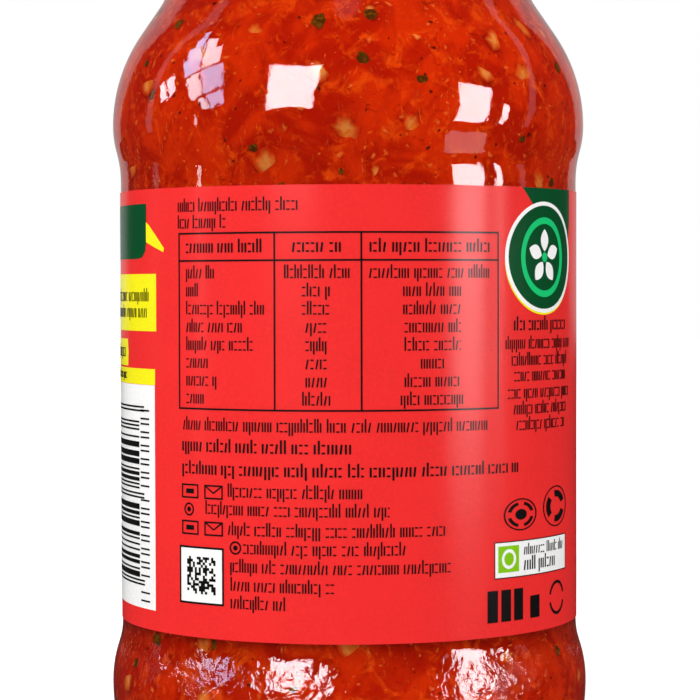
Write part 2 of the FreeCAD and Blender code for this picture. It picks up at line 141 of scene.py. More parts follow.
window, window_roll, window_radiance = (-80, 26), 33.0, 13
violet_light, white_light = (0.42, 0.64, 1.0), (0.84, 0.92, 1.0)
panes = (
    (-10, -0.6, 2.7, 12, violet_light), (-7.5, -0.6, 12, 17, violet_light),
    (-5, -0.6, 17, 22, violet_light), (-2.8, -0.6, 22, 27, violet_light),
    (0.6, 9.5, 2.7, 14, white_light), (0.6, 5.5, 14, 20, white_light),
    (-8.5, -0.6, -12, 1.3, white_light), (0.6, 11.5, -12, 1.3, violet_light),
    (-4, -0.6, -21, -13.4, white_light), (0.6, 10.5, -23, -13.4, violet_light),
    (-26, -21.4, -1, 9, white_light), (-20.4, -15, -1, 8, white_light),
)
for count, (left, right, foot, head, tint) in enumerate(panes):
    softbox(
        f"window_pane_{count}", *window, right - left, head - foot, window_radiance, tint=tint,
        roll=window_roll, aside=((left + right) / 2, (foot + head) / 2),
    )


def feed(tree, node, inputs):
    """Sets a node's inputs, each named or numbered, to values or other nodes' outputs, and
    returns its outputs."""
    for key, value in inputs.items():
        if isinstance(value, bpy.types.NodeSocket):
            tree.links.new(value, node.inputs[key])
        else:
            node.inputs[key].default_value = value
    return node.outputs


def add_node(tree, kind, inputs):
    """Adds a node, sets its inputs and returns its outputs."""
    return feed(tree, tree.nodes.new(kind), inputs)


def math_node(tree, operation, *values):
    """A sum on numbers or outputs."""
    node = tree.nodes.new("ShaderNodeMath")
    node.operation = operation
    return feed(tree, node, dict(enumerate(values)))[0]


def ranged(tree, value, start, end, low_end=0.0, high_end=1.0, ease="SMOOTHSTEP"):
    """A value stretched from one range to another, and held inside it."""
    node = tree.nodes.new("ShaderNodeMapRange")
    node.interpolation_type = ease
    return feed(tree, node, dict(enumerate((value, start, end, low_end, high_end))))[0]


wedge_slope, wedge_lift, wedge_soft = 0.68, 0.25, (-0.01, 0.02)
room_glow, backdrop_glow, room_light, seen_white = 0.03, 0.44, 1.08, 1.0


def new_world():
    """A white room. The glass mirrors it as dark, but for a pale backdrop behind the jar."""
    world = bpy.data.worlds.new("studio")
    world.use_nodes = True
    tree = world.node_tree
    tree.nodes.clear()
    direction = tree.nodes.new("ShaderNodeTexCoord").outputs["Generated"]
    x, y, z = add_node(tree, "ShaderNodeSeparateXYZ", {0: direction})
    lift = math_node(tree, "MULTIPLY", math_node(tree, "MAXIMUM", z, 0.0), wedge_lift)
    reach = math_node(tree, "ADD", math_node(tree, "MULTIPLY", y, wedge_slope), lift)
    inside = math_node(tree, "SUBTRACT", reach, math_node(tree, "ABSOLUTE", x))
    backdrop = ranged(tree, inside, *wedge_soft, room_glow, backdrop_glow, ease="LINEAR")
    rays = tree.nodes.new("ShaderNodeLightPath").outputs
    seen = math_node(tree, "MAXIMUM", rays["Is Camera Ray"], rays["Is Transmission Ray"])
    mirrored = add_node(tree, "ShaderNodeMix", {
        "Factor": rays["Is Glossy Ray"], "A": room_light, "B": backdrop,
    })
    strength = add_node(tree, "ShaderNodeMix", {
        "Factor": seen, "A": mirrored["Result"], "B": seen_white,
    })
    background = add_node(tree, "ShaderNodeBackground", {
        "Color": (1, 1, 1, 1), "Strength": strength["Result"],
    })
    add_node(tree, "ShaderNodeOutputWorld", {"Surface": background[0]})
    return world


studio.world = new_world()


def new_material(name):
    """A material, and its tree, which holds nothing yet."""
    material = bpy.data.materials.new(name)
    material.use_nodes = True
    material.node_tree.nodes.clear()
    return material, material.node_tree


def opaque(tree, colour, roughness, gloss=0.0, normal=None):
    """Ends a tree in a shader for a piece that no light passes."""
    inputs = {"Base Color": colour, "Roughness": roughness, "Specular IOR Level": gloss}
    if normal is not None:
        inputs["Normal"] = normal
    shader = add_node(tree, "ShaderNodeBsdfPrincipled", inputs)
    add_node(tree, "ShaderNodeOutputMaterial", {"Surface": shader[0]})


table_white, table_bounce, table_mirrored = 0.96, -0.45, -0.94


def table_finish():
    """Matt white, which throws little light on the jar and shows dark in its glass."""
    material, tree = new_material("white_table")
    rays = tree.nodes.new("ShaderNodeLightPath").outputs
    bounced = math_node(tree, "MULTIPLY_ADD", rays["Is Diffuse Ray"], table_bounce, table_white)
    shade = math_node(tree, "MULTIPLY_ADD", rays["Is Glossy Ray"], table_mirrored, bounced)
    opaque(tree, shade, 0.75)
    return material


def new_piece(name, vertices, faces, *materials, smooth=True):
    """A mesh object at the origin, with its place in its mesh."""
    mesh = bpy.data.meshes.new(name)
    mesh.from_pydata(vertices, [], faces)
    mesh.validate()
    for material in materials:
        mesh.materials.append(material)
    mesh.polygons.foreach_set("use_smooth", [smooth] * len(mesh.polygons))
    mesh.update()
    return put_in(name, mesh)


table_reach = 3.0
table = new_piece(
    "table",
    [(x * table_reach, y * table_reach, low.z) for x, y in ((-1, -1), (1, -1), (1, 1), (-1, 1))],
    [(0, 1, 2, 3)],
    table_finish(),
)

# ---- The glass --------------------------------------------------------------------------
# A moulded jar of clear soda-lime glass. Its side view is one run of arcs that meet smoothly,
# from the foot ring to the rim, and its twist-off finish carries four short thread ridges.
mm = 0.001
wall = 2.45 * mm
panel_radius = 36.6 * mm
panel_height = 70.3 * mm
base_step, base_round, base_hollow = 1.6 * mm, 19.3 * mm, 11.2 * mm
heel_round, base_curve, heel_lean = 8.4 * mm, 30.0 * mm, 12.0
foot_width, punt_rise = 3.0 * mm, 2.8 * mm
floor_height, floor_round = 6.4 * mm, 4.8 * mm
shoulder_step, shoulder_hollow, shoulder_round = 1.21 * mm, 17.3 * mm, 14.85 * mm
shoulder_curve, shoulder_slope, neck_hollow = 25.65 * mm, 5.55 * mm, 8.6 * mm
neck_radius, neck_height = 28.7 * mm, 1.2 * mm
bead_reach, bead_round, bead_hollow = 1.5 * mm, 1.2 * mm, 0.5 * mm
finish_step, finish_height, rim_round = 0.4 * mm, 10.4 * mm, 0.9 * mm


def double_bend(step, first, second):
    """The angle, in degrees, of an S of two arcs that ends a step beside where it started."""
    return math.degrees(math.acos(1 - step / (first + second)))


def follow(start, heading, strokes, spacing):
    """Points along a side view. A stroke is a run's length, or an arc's radius and its turn to
    the left in degrees, and each starts in the direction that the last one ended in."""
    points = [Vector(start)]
    heading = math.radians(heading)
    for size, turn in strokes:
        turn = math.radians(turn)
        length = size * abs(turn) if turn else size
        steps = max(1, math.ceil(length / spacing))
        for _ in range(steps):
            heading += turn / steps / 2
            chord = 2 * size * math.sin(abs(turn) / steps / 2) if turn else size / steps
            points.append(points[-1] + Vector((math.cos(heading), math.sin(heading))) * chord)
            heading += turn / steps / 2
    return points


def glass_side(inset):
    """The strokes of the jar's side, from its widest place at the base up to its neck."""
    foot_turn = double_bend(base_step, base_round, base_hollow)
    top_turn = double_bend(shoulder_step, shoulder_round, shoulder_hollow)
    rounds, drop = shoulder_curve + neck_hollow, panel_radius + shoulder_step - neck_radius
    lean = math.degrees(
        math.acos((rounds - drop) / math.hypot(rounds, shoulder_slope))
        - math.atan2(shoulder_slope, rounds)
    )
    return [
        (base_round - inset, foot_turn), (base_hollow + inset, -foot_turn), (panel_height, 0),
        (shoulder_hollow + inset, -top_turn), (shoulder_round - inset, top_turn),
        (shoulder_curve - inset, lean), (shoulder_slope, 0), (neck_hollow + inset, -lean),
    ]


def outside_profile(spacing):
    """The outside of the glass, from the middle of its underside to the rim's outer edge."""
    widest = panel_radius + base_step
    lean = math.radians(heel_lean)
    foot = widest - base_curve * (1 - math.cos(lean)) - heel_round * math.cos(lean)
    inner = foot - foot_width
    dome = (inner ** 2 + punt_rise ** 2) / (2 * punt_rise)
    arch = math.degrees(math.asin(inner / dome))
    lower = double_bend(bead_reach, bead_round, bead_hollow)
    upper = double_bend(bead_reach - finish_step, bead_round, bead_hollow)
    underside = follow((0, punt_rise), 0, [(dome, -arch)], spacing)
    side = [(foot_width, 0), (heel_round, 90 - heel_lean), (base_curve, heel_lean)]
    side += glass_side(0) + [(neck_height, 0)]
    rising = follow(underside[-1], 0, side, spacing)
    bead = [(bead_hollow, -lower), (bead_round, lower + upper), (bead_hollow, -upper)]
    finish = follow(rising[-1], 90, bead + [(finish_height - rim_round, 0)], spacing / 4)
    return underside + rising[1:] + finish[1:]


def inside_profile(inset, spacing, bore_run):
    """The inside of the glass, from the middle of its floor up into its neck."""
    lean = math.radians(heel_lean)
    bulge = heel_round * (1 - math.sin(lean)) + base_curve * math.sin(lean)
    curve, soft = base_curve - inset, floor_round + (wall - inset)
    level = floor_height - (wall - inset)
    between = curve - soft
    dip = bulge - level - soft
    turn = math.degrees(math.asin(dip / between))
    flat = panel_radius + base_step - inset - curve + math.sqrt(between ** 2 - dip ** 2)
    strokes = [(flat, 0), (soft, 90 - turn), (curve, turn)] + glass_side(inset)
    strokes.append((bore_run, 0))
    return follow((0, level), 0, strokes, spacing)


def lathe(name, profile, columns, *materials):
    """Turns a side view round the upright axis. It runs anticlockwise round the material."""
    vertices, rings = [], []
    for radius, height in profile:
        if radius < 1e-7:
            rings.append([len(vertices)] * columns)
            vertices.append((0, 0, height))
            continue
        rings.append(range(len(vertices), len(vertices) + columns))
        for column in range(columns):
            turn = math.tau * column / columns
            vertices.append((radius * math.cos(turn), radius * math.sin(turn), height))
    faces = []
    for lower, upper in zip(rings, rings[1:]):
        for column in range(columns):
            onward = (column + 1) % columns
            corners = (lower[column], lower[onward], upper[onward], upper[column])
            faces.append(tuple(dict.fromkeys(corners)))
    return new_piece(name, vertices, [face for face in faces if len(face) > 2], *materials)


def own_place(tree):
    """A point of the piece, on the piece's own coordinates."""
    return tree.nodes.new("ShaderNodeTexCoord").outputs["Object"]


def noise_node(tree, size, detail=2.0, rough=0.5, distortion=0.0, vector=None):
    """Noise whose blotches are about size across, in metres."""
    return add_node(tree, "ShaderNodeTexNoise", {
        "Scale": 1 / size, "Detail": detail, "Roughness": rough, "Distortion": distortion,
        "Vector": own_place(tree) if vector is None else vector,
    })["Fac"]


def bumped(tree, height, strength, distance, under=None):
    """A bump, whose strength is a number or an output, over another bump where one is given."""
    inputs = {"Height": height, "Strength": strength, "Distance": distance}
    if under is not None:
        inputs["Normal"] = under
    return add_node(tree, "ShaderNodeBump", inputs)[0]


glass_tint, glass_shade = (0.985, 0.995, 0.99, 1), (0.97, 0.98, 0.975, 1)
mould_waves, mould_depth = 1 / 160, 0.095 * mm
base_grain, base_depth, base_grain_ends = 1 / 520, 0.3 * mm, (22.5 * mm, 18.5 * mm)


def clear_glass():
    """Soda-lime glass with a moulded skin, rougher at its base. Light on its way to a lamp goes
    straight through, tinted a little."""
    material, tree = new_material("clear_glass")
    height = add_node(tree, "ShaderNodeSeparateXYZ", {0: own_place(tree)})["Z"]
    at_base = ranged(tree, height, *base_grain_ends)
    waves = noise_node(tree, mould_waves, 5)
    skin = bumped(tree, waves, 1.0, mould_depth)
    grain = noise_node(tree, base_grain, 3)
    skin = bumped(tree, grain, at_base, base_depth, skin)
    glass = add_node(tree, "ShaderNodeBsdfGlass", {
        "IOR": 1.5, "Roughness": 0.0, "Color": glass_tint, "Normal": skin,
    })
    through = add_node(tree, "ShaderNodeBsdfTransparent", {"Color": glass_shade})
    to_lamp = tree.nodes.new("ShaderNodeLightPath").outputs["Is Shadow Ray"]
    mix = add_node(tree, "ShaderNodeMixShader", {0: to_lamp, 1: glass[0], 2: through[0]})
    add_node(tree, "ShaderNodeOutputMaterial", {"Surface": mix[0]})
    return material


ridge_reach, ridge_height, ridge_crest = 1.5 * mm, 2.0 * mm, 0.9 * mm
ridge_drop, ridge_span, ridge_tilt, ridge_ease = 5.8 * mm, 58.0, 2.5, 6.0
lug_count = 4

glass_columns = 240
outside_spacing, rim_spacing, inside_spacing = 1.0 * mm, 0.3 * mm, 2.2 * mm
outer = outside_profile(outside_spacing)
rim_level = outer[-1].y + rim_round
bore = neck_radius - wall
rim_flat = outer[-1].x - bore - 2 * rim_round
rim = follow(outer[-1], 90, [(rim_round, 90), (rim_flat, 0), (rim_round, 90)], rim_spacing)
inner = inside_profile(wall, inside_spacing, neck_height)
glass = lathe("glass", outer + rim[1:] + inner[::-1], glass_columns, clear_glass())


def swell_ridges(piece):
    """Raises the four thread ridges from the wall of the finish, each easing in at its ends."""
    root = neck_radius + finish_step
    for vertex in piece.data.vertices:
        radius = math.hypot(vertex.co.x, vertex.co.y)
        if radius < root - 0.05 * mm or vertex.co.z < rim_level - ridge_drop - ridge_height:
            continue
        around = math.degrees(math.atan2(vertex.co.y, vertex.co.x)) % (360 / lug_count)
        off = min(around, 360 / lug_count - around)
        signed = around if around < 180 / lug_count else around - 360 / lug_count
        rise = root * math.tan(math.radians(ridge_tilt)) * math.sin(math.radians(signed))
        level = rim_level - ridge_drop + rise
        across = (ridge_height / 2 - abs(vertex.co.z - level)) / ((ridge_height - ridge_crest) / 2)
        along = (ridge_span / 2 - off) / ridge_ease
        swell = max(0, min(1, across)) * max(0, min(1, along))
        swell = swell * swell * (3 - 2 * swell)
        vertex.co.xy *= (radius + ridge_reach * swell) / radius


swell_ridges(glass)
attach(glass, "root")
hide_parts("jar")

# ---- The sauce --------------------------------------------------------------------------
# Chopped tomato cooked down to a thick red sauce that fills the jar to the neck. It wets the
# glass all over, so it reaches a hair into the wall, and its top is left uneven by filling.


def blended(tree, share, first, second):
    """One colour over another by a share. Each is three numbers or an output."""
    first, second = (
        (*colour, 1) if isinstance(colour, tuple) else colour for colour in (first, second)
    )
    node = tree.nodes.new("ShaderNodeMix")
    node.data_type = "RGBA"
    return feed(tree, node, {"Factor": share, 6: first, 7: second})[2]


deep_red, tomato_red = (0.56, 0.0115, 0.0003), (0.80, 0.031, 0.0005)
orange_pulp, dark_skin = (0.93, 0.078, 0.002), (0.38, 0.0060, 0.0003)
pale_fleck = (0.98, 0.30, 0.05)


def sauce_tone(tree):
    """The sauce's colour: drifts of red, orange pulp, threads of skin and pale flecks."""
    drifts = ranged(tree, noise_node(tree, 0.010, 3, 0.6, 1.0), 0.38, 0.62)
    colour = blended(tree, drifts, deep_red, tomato_red)
    pulp = ranged(tree, noise_node(tree, 0.0030, 5, 0.66, 0.7), 0.50, 0.70)
    colour = blended(tree, pulp, colour, orange_pulp)
    skin = ranged(tree, noise_node(tree, 0.0024, 4, 0.6, 1.4), 0.40, 0.30, 0, 0.7)
    colour = blended(tree, skin, colour, dark_skin)
    for turn, size in ((0.5, 0.0008), (-0.7, 0.0006)):
        stretched = add_node(tree, "ShaderNodeMapping", {
            "Vector": own_place(tree), "Rotation": (turn, turn, 0.3), "Scale": (1.0, 1.0, 0.36),
        })
        fibres = noise_node(tree, size, 3, 0.6, 0.8, stretched[0])
        fibres = ranged(tree, fibres, 0.62, 0.76, 0, 0.5)
        patches = ranged(tree, noise_node(tree, 0.007, 2), 0.42, 0.62, 0.1, 1.0)
        share = math_node(tree, "MULTIPLY", fibres, patches)
        colour = blended(tree, share, colour, pale_fleck)
    return colour


def sauce_finish(name, gloss):
    """Sauce against the glass has no gloss of its own, and its bare top is wet."""
    material, tree = new_material(name)
    lumps = noise_node(tree, 0.002, 4)
    opaque(tree, sauce_tone(tree), 0.28, gloss, bumped(tree, lumps, 0.5, 0.0006))
    return material


sauce_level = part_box("sauce")[1].z
wetting, sauce_spacing = 0.10 * mm, 2.0 * mm
sauce_columns, sauce_rings = 200, 24
heap, heap_rise = 1.6 * mm, 9
broad_lumps, fine_lumps = 110, 320

neck_foot = inside_profile(wall - wetting, sauce_spacing, 0)[-1].y
filled = inside_profile(wall - wetting, sauce_spacing, sauce_level - neck_foot)
brim = filled[-1].x
top = [
    Vector((brim * (1 - step / sauce_rings), sauce_level)) for step in range(1, sauce_rings + 1)
]
top[-1].x = 0
sauce = lathe(
    "sauce_fill", filled + top, sauce_columns,
    sauce_finish("sauce_in_glass", 0.0), sauce_finish("sauce_top", 0.5),
)
for vertex in sauce.data.vertices:
    if vertex.co.z > sauce_level - 0.01 * mm:
        inward = 1 - math.hypot(vertex.co.x, vertex.co.y) / brim
        lumps = noise.noise(vertex.co * broad_lumps) + 0.5 * noise.noise(vertex.co * fine_lumps)
        vertex.co.z -= min(1, inward * heap_rise) * heap * (0.5 + 0.5 * lumps)
for face in sauce.data.polygons:
    if face.center.z > sauce_level - 2.5 * heap and face.normal.z > 0.6:
        face.material_index = 1
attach(sauce, "root")
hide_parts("sauce")

# ---- The bits in the sauce --------------------------------------------------------------
# Flakes of dried basil, chopped onion, ground pepper and shreds of tomato, stirred in before
# filling. Each kind lies against the glass by chance, turned and sized by chance.
chance = random.Random(11)


def chopped(name, reach, thick, corners, rough, sharp=0.0, stretch=1.0):
    """One chopped bit, flat on the XY plane: a domed, uneven outline round a raised middle."""
    angles = [math.tau * (k + chance.uniform(-0.3, 0.3)) / corners for k in range(corners)]
    reaches = [reach * (1 + chance.uniform(-rough, rough)) for _ in range(corners)]
    vertices, faces, shares = [], [], []
    for share, height in ((1.0, -0.1), (0.88, 0.2), (0.55, 0.42)):
        for turn, far in zip(angles, reaches):
            lift = height * thick + chance.uniform(-sharp, sharp) * thick
            vertices.append((
                far * share * math.cos(turn) * stretch, far * share * math.sin(turn), lift
            ))
            shares.append(1 - share)
    for level in range(2):
        for k in range(corners):
            a, b = level * corners + k, level * corners + (k + 1) % corners
            faces.append((a, b, b + corners, a + corners))
    vertices += [(0, 0, 0.5 * thick), (0, 0, -0.5 * thick)]
    shares += [1.0, 0.0]
    for k in range(corners):
        onward = (k + 1) % corners
        faces.append((2 * corners + k, 2 * corners + onward, 3 * corners))
        faces.append((onward, k, 3 * corners + 1))
    piece = new_piece(name, vertices, faces)
    core = piece.data.attributes.new("core", "FLOAT", "POINT")
    core.data.foreach_set("value", shares)
    return piece


scatter_lean = 0.18


def scatter_tree(name, shapes, material):
    """Strews shapes over a surface, no two nearer than their spacing, each turned by chance."""
    tree = bpy.data.node_groups.new(name, "GeometryNodeTree")
    tree.is_modifier = True
    interface = tree.interface
    interface.new_socket("Geometry", in_out="INPUT", socket_type="NodeSocketGeometry")
    for socket_name, kind in (("Spacing", "Float"), ("Most per square metre", "Float"),
                              ("Smallest", "Float"), ("Largest", "Float"), ("Seed", "Int")):
        interface.new_socket(socket_name, in_out="INPUT", socket_type=f"NodeSocket{kind}")
    interface.new_socket("Geometry", in_out="OUTPUT", socket_type="NodeSocketGeometry")
    given = tree.nodes.new("NodeGroupInput").outputs
    node = tree.nodes.new("GeometryNodeDistributePointsOnFaces")
    node.distribute_method = "POISSON"
    points = feed(tree, node, {
        "Mesh": given["Geometry"], "Distance Min": given["Spacing"],
        "Density Max": given["Most per square metre"], "Seed": given["Seed"],
    })
    size = add_node(tree, "FunctionNodeRandomValue", {
        2: given["Smallest"], 3: given["Largest"], "Seed": given["Seed"],
    })
    node = tree.nodes.new("FunctionNodeRandomValue")
    node.data_type = "FLOAT_VECTOR"
    spin = feed(tree, node, {
        0: (-scatter_lean, -scatter_lean, 0), 1: (scatter_lean, scatter_lean, math.tau),
        "Seed": given["Seed"],
    })
    node = tree.nodes.new("FunctionNodeRotateRotation")
    node.rotation_space = "LOCAL"
    turned = feed(tree, node, {"Rotation": points["Rotation"], "Rotate By": spin[0]})
    kinds = add_node(tree, "GeometryNodeCollectionInfo", {
        "Collection": shapes, "Separate Children": True, "Reset Children": True,
    })
    placed = add_node(tree, "GeometryNodeInstanceOnPoints", {
        "Points": points["Points"], "Instance": kinds[0], "Pick Instance": True,
        "Rotation": turned[0], "Scale": size[1],
    })
    real = add_node(tree, "GeometryNodeRealizeInstances", {0: placed[0]})
    done = add_node(tree, "GeometryNodeSetMaterial", {"Geometry": real[0], "Material": material})
    add_node(tree, "NodeGroupOutput", {0: done[0]})
    return tree


skin_gap, skin_columns = 3 * mm, 96
skin_profile = [point for point in filled if point.y < sauce_level - skin_gap]
skin = lathe("sauce_skin", skin_profile, skin_columns)


def strew(name, shapes, material, spacing, density, sizes, seed):
    """Scatters the shapes over the sauce's side and gives them as one plain mesh."""
    settings = {
        "Spacing": spacing, "Most per square metre": density, "Smallest": sizes[0],
        "Largest": sizes[1], "Seed": seed,
    }
    kinds = bpy.data.collections.new(f"{name}_kinds")
    for shape in shapes:
        studio.collection.objects.unlink(shape)
        kinds.objects.link(shape)
    holder = put_in(f"{name}_holder", skin.data)
    tree = scatter_tree(f"{name}_scatter", kinds, material)
    modifier = holder.modifiers.new("scatter", "NODES")
    modifier.node_group = tree
    for item in tree.interface.items_tree:
        if item.in_out == "INPUT" and item.name in settings:
            modifier[item.identifier] = settings[item.name]
    view = holder.evaluated_get(bpy.context.evaluated_depsgraph_get())
    mesh = bpy.data.meshes.new_from_object(view)
    mesh.name = name
    mesh.polygons.foreach_set("use_smooth", [True] * len(mesh.polygons))
    piece = put_in(name, mesh)
    bpy.data.objects.remove(holder)
    for shape in shapes:
        bpy.data.objects.remove(shape)
    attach(piece, "root")


def bit_finish(name, middle_tone, edge_tone, mottle, sink, strength=1.0, relief=0.4):
    """A bit's colour from its edge to its middle. It sinks in, so its edge fades into sauce."""
    material, tree = new_material(name)
    core = tree.nodes.new("ShaderNodeAttribute")
    core.attribute_name = "core"
    blotch = noise_node(tree, mottle, 4, 0.6, 0.6)
    share = ranged(tree, core.outputs["Fac"], 0.05, 0.5)
    colour = blended(tree, share, edge_tone, middle_tone)
    dulled = blended(tree, ranged(tree, blotch, 0.42, 0.6), edge_tone, colour)
    cover = ranged(tree, core.outputs["Fac"], *sink, 0, strength)
    dulled = blended(tree, cover, sauce_tone(tree), dulled)
    opaque(tree, dulled, 0.6, 0.0, bumped(tree, blotch, relief, 0.0003))
    return material


strew(
    "onion_pieces",
    [chopped(f"onion_{k}", 1.0 * mm, 0.13 * mm, 14, 0.2, 0.03, 1.25) for k in range(5)],
    bit_finish("cooked_onion", (0.98, 0.40, 0.075), (0.95, 0.24, 0.020), 0.0016,
               sink=(0.0, 0.8), strength=0.75, relief=0.06),
    spacing=5.8 * mm, density=8500.0, sizes=(0.6, 2.2), seed=5,
)
strew(
    "basil_flakes",
    [chopped(f"basil_{k}", 1.0 * mm, 0.22 * mm, 11, 0.22, 0.08, 1.3) for k in range(6)],
    bit_finish("dried_basil", (0.225, 0.085, 0.004), (0.090, 0.028, 0.002), 0.0012,
               sink=(0.0, 0.25), relief=0.3),
    spacing=5.8 * mm, density=8200.0, sizes=(0.55, 1.25), seed=8,
)
strew(
    "pepper_specks",
    [chopped(f"speck_{k}", 0.24 * mm, 0.1 * mm, 8, 0.4, 0.1, 1.5) for k in range(4)],
    bit_finish("ground_pepper", (0.070, 0.012, 0.002), (0.040, 0.006, 0.001), 0.0004,
               sink=(0.0, 0.5), strength=0.9),
    spacing=2.0 * mm, density=30000.0, sizes=(0.4, 1.4), seed=21,
)
strew(
    "tomato_shreds",
    [chopped(f"shred_{k}", 0.27 * mm, 0.08 * mm, 8, 0.55, 0.1, 0.9 + 0.4 * k) for k in range(6)],
    bit_finish("pale_shreds", (0.98, 0.30, 0.05), (0.95, 0.14, 0.01), 0.0004,
               sink=(0.0, 0.8), strength=0.6, relief=0.1),
    spacing=0.8 * mm, density=90000.0, sizes=(0.2, 1.6), seed=34,
)
bpy.data.objects.remove(skin)

# ---- The label --------------------------------------------------------------------------
# One wrap of coated paper, printed red all over, varnished and glued round the panel. Its free
# end is glued over its start, at the far side. Its cut edges show the white of the paper.
label_low, label_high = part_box("label")
label_foot = label_low.z
label_height = label_high.z - label_low.z
paper, glued_back = 0.12 * mm, 0.03 * mm
ripple, broad_ripple, fine_ripple = 0.018 * mm, 2.3, 6.1
lap_end, lap_span, lap_ramp = math.radians(152.0), math.radians(14.0), math.radians(3.12)
label_turn = panel_radius + paper
label_slip = 0.2 * mm
label_columns, label_rows = 360, 34
label_loop = label_rows + 3


def paper_radius(turn, height):
    """How far the paper's face stands from the axis, at an angle round from the front."""
    behind = (lap_end - turn) % math.tau
    lapped = 1 - max(0, min(1, (behind - lap_span) / lap_ramp))
    place = Vector((math.sin(turn), -math.cos(turn), height / panel_radius))
    wave = noise.noise(place * broad_ripple) + 0.5 * noise.noise(place * fine_ripple)
    return panel_radius + paper * (1 + lapped) + ripple * wave


def on_paper(across, above, lift=0.0):
    """The place of a point of the flat label, in millimetres right of its middle and above its
    foot, on the rolled label."""
    turn = (across * mm + label_slip) / label_turn
    radius = paper_radius(turn, above * mm) + lift
    return (radius * math.sin(turn), -radius * math.cos(turn), label_foot + above * mm)


def print_finish(name, colour, cloud=0.04):
    """Ink on coated paper under a thin gloss varnish, with the paper's tooth showing faintly."""
    material, tree = new_material(name)
    tooth = noise_node(tree, 0.0005, 3, 0.6)
    broad = noise_node(tree, 0.012, 2)
    worn = tuple(channel * (1 - 1.6 * cloud) for channel in colour)
    lit = tuple(min(1.0, channel * (1 + cloud)) for channel in colour)
    share = ranged(tree, broad, 0.3, 0.7)
    tone = blended(tree, share, worn, colour)
    tone = blended(tree, ranged(tree, tooth, 0.35, 0.75), tone, lit)
    opaque(tree, tone, 0.20, 0.12, bumped(tree, tooth, 0.12, 0.0001))
    return material


def wrap_label():
    """The paper as a closed band: its face, and then its cut edges and glued back."""
    vertices, faces = [], []
    for column in range(label_columns):
        turn = lap_end + math.tau * column / label_columns
        heights = [label_height * row / label_rows for row in range(label_rows + 1)]
        points = [(paper_radius(turn, height), height) for height in heights]
        points += [(panel_radius - glued_back, height) for height in (label_height, 0)]
        for radius, height in points:
            vertices.append((
                radius * math.sin(turn), -radius * math.cos(turn), label_foot + height
            ))
    for column in range(label_columns):
        here, onward = column * label_loop, (column + 1) % label_columns * label_loop
        for row in range(label_loop):
            above = (row + 1) % label_loop
            faces.append((here + row, onward + row, onward + above, here + above))
    return vertices, faces


red_ink, bare_paper = (0.80, 0.0235, 0.0228), (0.86, 0.86, 0.85)
label = new_piece(
    "label_paper", *wrap_label(),
    print_finish("red_print", red_ink), print_finish("paper_edge", bare_paper),
)
for index, face in enumerate(label.data.polygons):
    if index % label_loop >= label_rows:
        face.material_index = 1
        face.use_smooth = False
for edge in label.data.edges:
    if all(vertex % label_loop in (0, label_rows) for vertex in edge.vertices):
        edge.use_edge_sharp = True
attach(label, "root")
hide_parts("label")

# ---- The print --------------------------------------------------------------------------
# What is printed over the red: plain fields of colour, ruled lines and word-like rows of bare
# strokes, each ink a thin layer on the paper. It has no lettering, names or marks.
ink_step, ink_thick = 0.012 * mm, 0.014 * mm
facet_across, facet_up = 1.0, 2.0
inks = {}
top_layer = 4
setter = random.Random(7)


def lay(ink, layer, *outlines):
    """Adds flat outlines to an ink. A higher layer lies over a lower one."""
    inks.setdefault(ink, []).extend((layer, outline) for outline in outlines)


def draw(*outlines):
    """Adds flat outlines in black, over the fields of colour."""
    lay("black", top_layer, *outlines)


def plate(left, foot, right, head):
    """A plain field."""
    return [(left, foot), (right, foot), (right, head), (left, head)]


def frame_lines(left, foot, right, head, width):
    """Four ruled lines round a field."""
    half = width / 2
    return [
        plate(left - half, foot - half, right + half, foot + half),
        plate(left - half, head - half, right + half, head + half),
        plate(left - half, foot + half, left + half, head - half),
        plate(right - half, foot + half, right + half, head - half),
    ]


def disc(across, above, wide, tall=None, corners=56):
    """A round or an ellipse, by half its width and half its height."""
    tall = wide if tall is None else tall
    turns = [math.tau * k / corners for k in range(corners)]
    return [(across + wide * math.cos(turn), above + tall * math.sin(turn)) for turn in turns]


def leaf(across, above, length, wide, turn):
    """A pointed leaf with its stalk end at a point, turned up from the right in degrees."""
    lean = math.radians(turn)
    points = []
    for k in range(24):
        share = k / 12 if k <= 12 else 2 - k / 12
        side = (1 if k < 12 else -1) * wide / 2 * math.sin(math.pi * share) ** 0.8
        x, y = length * share, -side
        points.append((
            across + x * math.cos(lean) - y * math.sin(lean),
            above + x * math.sin(lean) + y * math.cos(lean),
        ))
    return points


bend_steps = 40


def bend(centre_x, centre_y, inner, outer, start, stop, squash=1.0):
    """Part of a ring, from one angle to another in degrees, and squashed in height."""
    span = stop - start
    turns = [math.radians(start + span * k / bend_steps) for k in range(bend_steps + 1)]
    rounds = [[(centre_x + reach * math.cos(turn), centre_y + squash * reach * math.sin(turn))
               for turn in turns] for reach in (outer, inner)]
    return rounds[0] + rounds[1][::-1]


def hoop(centre_x, centre_y, inner, outer, squash=1.0):
    """A whole ring, in two halves."""
    return [bend(centre_x, centre_y, inner, outer, start, start + 180, squash)
            for start in (0, 180)]


def stroke(x0, y0, x1, y1, width):
    """A ruled line from one point to another."""
    along = math.hypot(x1 - x0, y1 - y0)
    dx, dy = (y0 - y1) / along * width / 2, (x1 - x0) / along * width / 2
    return [(x0 - dx, y0 - dy), (x1 - dx, y1 - dy), (x1 + dx, y1 + dy), (x0 + dx, y0 + dy)]


upright_share, tall_share, deep_share, dash_share = 0.44, 0.58, 0.64, 0.84
riser, tail, dash_wide, slant_wide, word_gap = 0.42, 0.36, 0.36, 0.34, 0.42


